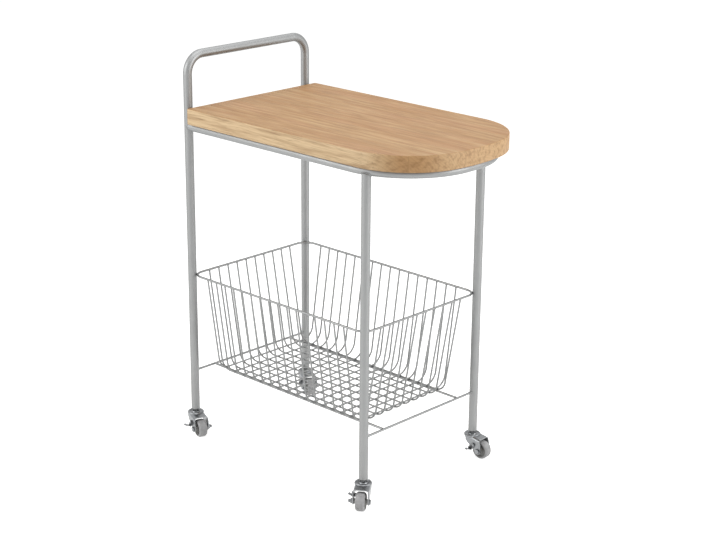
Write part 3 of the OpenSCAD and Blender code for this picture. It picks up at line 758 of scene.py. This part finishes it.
@dataclass
class WireBasket:
    """The fixed basket and the rods under it."""

    plan: Plan
    wire: bpy.types.Material
    rim_x: float = 260.0
    rim_y: float = 174.0
    long_count: int = 10
    cross_count: int = 16
    long_pitch: float = 27.35
    cross_pitch: float = 27.45
    shift: tuple[float, float] = (-3.5, -2.0)
    cross_z: float = 155.2
    long_z: float = 151.7
    side_lean: float = 0.146
    end_lean: float = 0.182
    side_bend: float = 31.0
    end_bend: float = 26.0
    runner_y: float = 116.0
    runner_z: float = 151.0
    dice_seed: int = 11

    def rise(self, along: float, rim: float, floor: float, lean: float, bend: float) -> float:
        """Works out how far a wire has climbed above the floor where another one crosses it.

        Args:
            along: Distance of the crossing from the middle.
            rim: Distance of the rim from the middle.
            floor: Height of the wire's floor part.
            lean: Lean of its wall.
            bend: Radius of its bend.

        Returns:
            The climb in millimetres.
        """
        turn = math.pi / 2 - math.atan(lean)
        flat = rim - lean * (self.plan.rim_z - floor) - bend * math.tan(turn / 2)
        past = min(max(0.0, abs(along) - flat), bend)
        return bend - math.sqrt(bend**2 - past**2)

    def build(self) -> None:
        """Dresses the CAD wires and adds the spot welds."""
        for part in ("rim", "long_wires", "cross_wires", "runners", "rod_rear", "rod_front"):
            dress(f"basket_{part}", self.wire)
        p, skin, dice = self.plan, Skin(), random.Random(self.dice_seed)
        long_middle, cross_middle = (self.long_count - 1) / 2, (self.cross_count - 1) / 2
        long_y = [(i - long_middle) * self.long_pitch + self.shift[1] for i in range(self.long_count)]
        cross_x = [(i - cross_middle) * self.cross_pitch + self.shift[0] for i in range(self.cross_count)]
        under = p.rim_z - p.rod_r + 0.1
        for x in cross_x:
            up = self.rise(x, self.rim_x, self.long_z, self.end_lean, self.end_bend)
            for y in long_y:
                climb = up + self.rise(y, self.rim_y, self.cross_z, self.side_lean, self.side_bend)
                size = Vector((1.9, 1.9, 0.9 + 0.2 * dice.random())) * MM
                skin.blob(p.at(x, y, (self.cross_z + self.long_z) / 2 + climb), size)
            for s in (-1, 1):
                if up == 0:
                    skin.blob(p.at(x, s * self.runner_y, self.runner_z + p.rod_r), Vector((1.9, 2.1, 0.8)) * MM)
                skin.blob(p.at(x, s * (self.rim_y - 0.4), under), Vector((2.5, 2.4, 1.0)) * MM)
        for s in (-1, 1):
            for y in long_y:
                skin.blob(p.at(s * (self.rim_x - 0.4), y, under), Vector((2.4, 2.5, 1.0)) * MM)
            for e in (-1, 1):
                end = p.at(e * (p.leg_x - p.rod_r), s * self.runner_y, (self.runner_z + p.rod_z) / 2)
                skin.blob(end, Vector((1.1, 3.1, 2.9)) * MM)
        make_piece("basket_spot_welds", skin.points, skin.faces, self.wire, "frame")
        log.info("basket spot welds: %d points", len(skin.points))


@dataclass
class Castor:
    """One braked swivel castor. Its own frame trails along +X, and side is 1 where the thread is on its right."""

    plan: Plan
    name: str
    corner: tuple[int, int]
    direction: float
    side: int
    zinc: bpy.types.Material
    centre: bpy.types.Material
    tread: bpy.types.Material
    axle_x: float = 27.0
    axle_z: float = 20.0
    thread_r: float = 2.95
    thread_from: float = 22.1
    thread_to: float = 25.8
    thread_pitch: float = 0.75  # a 6 mm thread has 1 mm
    thread_crest: float = 0.3
    rivet_x: float = 16.0
    rivet_z: float = 33.0
    rivet_face: float = 19.9
    rivet_head: tuple[float, float, float] = (3.3, 1.3, 3.3)
    edge: float = 0.35
    sharp_deg: float = 40.0  # edges that turn by more than this are eased

    def at(self, x: float, y: float, z: float) -> Vector:
        """Turns a point in the castor's own frame into one in the part's frame.

        Args:
            x: How far the point trails behind the stem, in millimetres.
            y: How far it lies to the left of that, in millimetres.
            z: Its height above the floor, in millimetres.

        Returns:
            The point in metres.
        """
        c, s = math.cos(math.radians(self.direction)), math.sin(math.radians(self.direction))
        foot_x, foot_y = self.corner[0] * self.plan.leg_x, self.corner[1] * self.plan.leg_y
        return self.plan.at(foot_x + x * c - y * s, foot_y + x * s + y * c, z)

    def ease_edges(self, part: str) -> None:
        """Rounds off the sharp edges that pressing and plating leave soft.

        Args:
            part: The castor's part, as in its CAD node's name.
        """
        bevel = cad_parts[f"{self.name}_{part}"].modifiers.new("eased_edges", "BEVEL")
        bevel.width, bevel.segments = self.edge * MM, 2
        bevel.limit_method, bevel.angle_limit = "ANGLE", math.radians(self.sharp_deg)

    def build(self) -> None:
        """Dresses the CAD castor and adds the axle's thread and the rivet's domed head."""
        for part in ("stem", "fork", "axle", "brake", "rivet"):
            dress(f"{self.name}_{part}", self.zinc)
            self.ease_edges(part)
        dress(f"{self.name}_hub", self.centre)
        dress(f"{self.name}_tyre", self.tread)
        skin, steps, r = Skin(), 24, self.thread_r
        turns = [2 * math.pi * k / steps for k in range(steps)]
        for i in range(round((self.thread_to - self.thread_from) / self.thread_pitch) + 1):
            y = -self.side * (self.thread_from + i * self.thread_pitch)
            ring = [self.at(self.axle_x + r * math.cos(a), y, self.axle_z + r * math.sin(a)) for a in turns]
            skin.sweep(ring, [self.thread_crest * MM] * steps, sides=6)
        head = self.at(self.rivet_x, -self.rivet_face, self.rivet_z)
        turn = Matrix.Rotation(math.radians(self.direction), 3, "Z")
        skin.blob(head, Vector(self.rivet_head) * MM, turn, rings=8, sides=24)
        piece, body = f"{self.name}_thread_and_rivet_head", f"{self.name}_swivel"
        make_piece(piece, skin.points, skin.faces, self.zinc, body)
        log.info("castor %s: %d points added", self.name, len(skin.points))


# ---------------------------------------------------------------- studio


@dataclass(frozen=True)
class Viewpoint:
    """The photograph's camera."""

    azimuth: float = 43.642
    elevation: float = 18.415
    roll: float = 0.476
    distance: float = 3560.53
    aim: tuple[float, float, float] = (-60.6, 7.5, 402.0)
    slide: tuple[float, float] = (54.73, 4.39)
    lens: float = 82.92

    def place(self) -> None:
        """Makes the camera."""
        a, e, turn = (math.radians(v) for v in (self.azimuth, self.elevation, self.roll))
        back = Vector((math.sin(a) * math.cos(e), -math.cos(a) * math.cos(e), math.sin(e)))
        right = (-back).cross(Vector((0, 0, 1))).normalized()
        up = right.cross(-back)
        r = right * math.cos(turn) + up * math.sin(turn)
        u = up * math.cos(turn) - right * math.sin(turn)
        spot = Vector(self.aim) + back * self.distance + r * self.slide[0] + u * self.slide[1]
        data = bpy.data.cameras.new("camera")
        data.lens, data.sensor_width, data.clip_end = self.lens, 36.0, 100.0
        camera = bpy.data.objects.new("camera", data)
        camera.matrix_world = Matrix.Translation(spot * MM) @ Matrix((r, u, back)).transposed().to_4x4()
        bpy.context.scene.collection.objects.link(camera)
        bpy.context.scene.camera = camera


@dataclass(frozen=True)
class Studio:
    """Pale floor, even light from all round and three large soft lamps."""

    floor_colour: str = "#f4f4f3"
    floor_reach: float = 30.0  # metres, so that its edge is far behind the trolley
    surround: float = 0.33
    floor_glow: float = 0.72
    lamp_aim: tuple[float, float, float] = (0.0, 0.0, 0.45)

    def lamp(self, name: str, place: tuple[float, float, float], size: float, power: float) -> None:
        """Adds a square soft lamp that faces the trolley.

        Args:
            name: The lamp's name.
            place: Where it stands, in metres.
            size: Its side, in metres.
            power: Its power, in watts.
        """
        data = bpy.data.lights.new(name, "AREA")
        data.size, data.energy = size, power
        lamp = bpy.data.objects.new(name, data)
        lamp.location = place
        lamp.rotation_euler = (Vector(self.lamp_aim) - Vector(place)).to_track_quat("-Z", "Y").to_euler()
        bpy.context.scene.collection.objects.link(lamp)

    def build_surround(self) -> None:
        """Makes the world: white to the eye, and dimmer as a light."""
        world = bpy.data.worlds.new("surround")
        world.use_nodes = True
        t = world.node_tree
        t.nodes.clear()
        strength = add(t, "ShaderNodeMapRange", {0: seen_share(t), 3: self.surround, 4: 1.0}).outputs[0]
        light = add(t, "ShaderNodeBackground", {"Color": (1, 1, 1, 1), "Strength": strength})
        add(t, "ShaderNodeOutputWorld", {0: light.outputs[0]})
        bpy.context.scene.world = world

    def build_floor(self) -> None:
        """Makes the pale floor, which lifts its own tone where it is seen and keeps the trolley's shadow."""
        material, t = new_material("pale_floor")
        paper = add(t, "ShaderNodeBsdfDiffuse", {"Color": linear(self.floor_colour)})
        glow = add(t, "ShaderNodeMath", {0: seen_share(t), 1: self.floor_glow}, operation="MULTIPLY").outputs[0]
        lift = add(t, "ShaderNodeEmission", {"Color": (1, 1, 1, 1), "Strength": glow})
        both = add(t, "ShaderNodeAddShader", {0: paper.outputs[0], 1: lift.outputs[0]})
        add(t, "ShaderNodeOutputMaterial", {0: both.outputs[0]})
        corners = [(x * self.floor_reach, y * self.floor_reach, 0) for x, y in ((-1, -1), (1, -1), (1, 1), (-1, 1))]
        mesh = bpy.data.meshes.new("floor")
        mesh.from_pydata(corners, [], [(0, 1, 2, 3)])
        mesh.materials.append(material)
        floor = bpy.data.objects.new("floor", mesh)
        bpy.context.scene.collection.objects.link(floor)

    def build(self) -> None:
        """Makes the surround, the floor and the lamps."""
        self.build_surround()
        self.build_floor()
        self.lamp("left_lamp", (-1.3, -2.4, 1.6), 1.6, 42.0)
        self.lamp("right_lamp", (2.5, 1.0, 1.4), 1.6, 42.0)
        self.lamp("top_lamp", (0.0, 0.2, 2.6), 2.2, 33.0)
        bpy.context.scene.view_settings.view_transform = "Standard"


def main() -> None:
    """Builds every sub-assembly in order."""
    plan = Plan()
    legs = SatinSteel(grain=Axis.Z).make()
    bars = SatinSteel(name="satin_steel_crossbar", grain=Axis.Y).make()
    sides = SatinSteel(name="satin_steel_ring", grain=Axis.X).make()
    wire = SatinSteel(name="satin_steel_wire", colour="#8b8c8c", roughness=0.4, grain_length_mm=4.0).make()
    zinc = ZincPlate().make()
    plug = Moulded("black_nylon_plug", "#2b2b2b", 0.45).make()
    centre = Moulded("grey_nylon_wheel_centre", "#a3a3a1", 0.42).make()
    tread = Moulded("pale_grey_rubber_tread", "#a9a9aa", 0.6, spark_mm=1.1, depth_mm=0.09, scuff=0.12).make()
    Viewpoint().place()
    Studio().build()
    Worktop(plan, OiledOak().make()).build()
    TubeFrame(plan, legs, bars, sides, zinc, plug).build()
    WireBasket(plan, wire).build()
    castors = (
        ("rear_right", (-1, -1), -19.0, -1),
        ("rear_left", (-1, 1), -24.0, -1),
        ("front_right", (1, -1), -56.0, 1),
        ("front_left", (1, 1), 3.0, -1),
    )
    for name, corner, direction, side in castors:
        Castor(plan, name, corner, direction, side, zinc, centre, tread).build()
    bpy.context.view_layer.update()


if __name__ == "__main__":
    main()
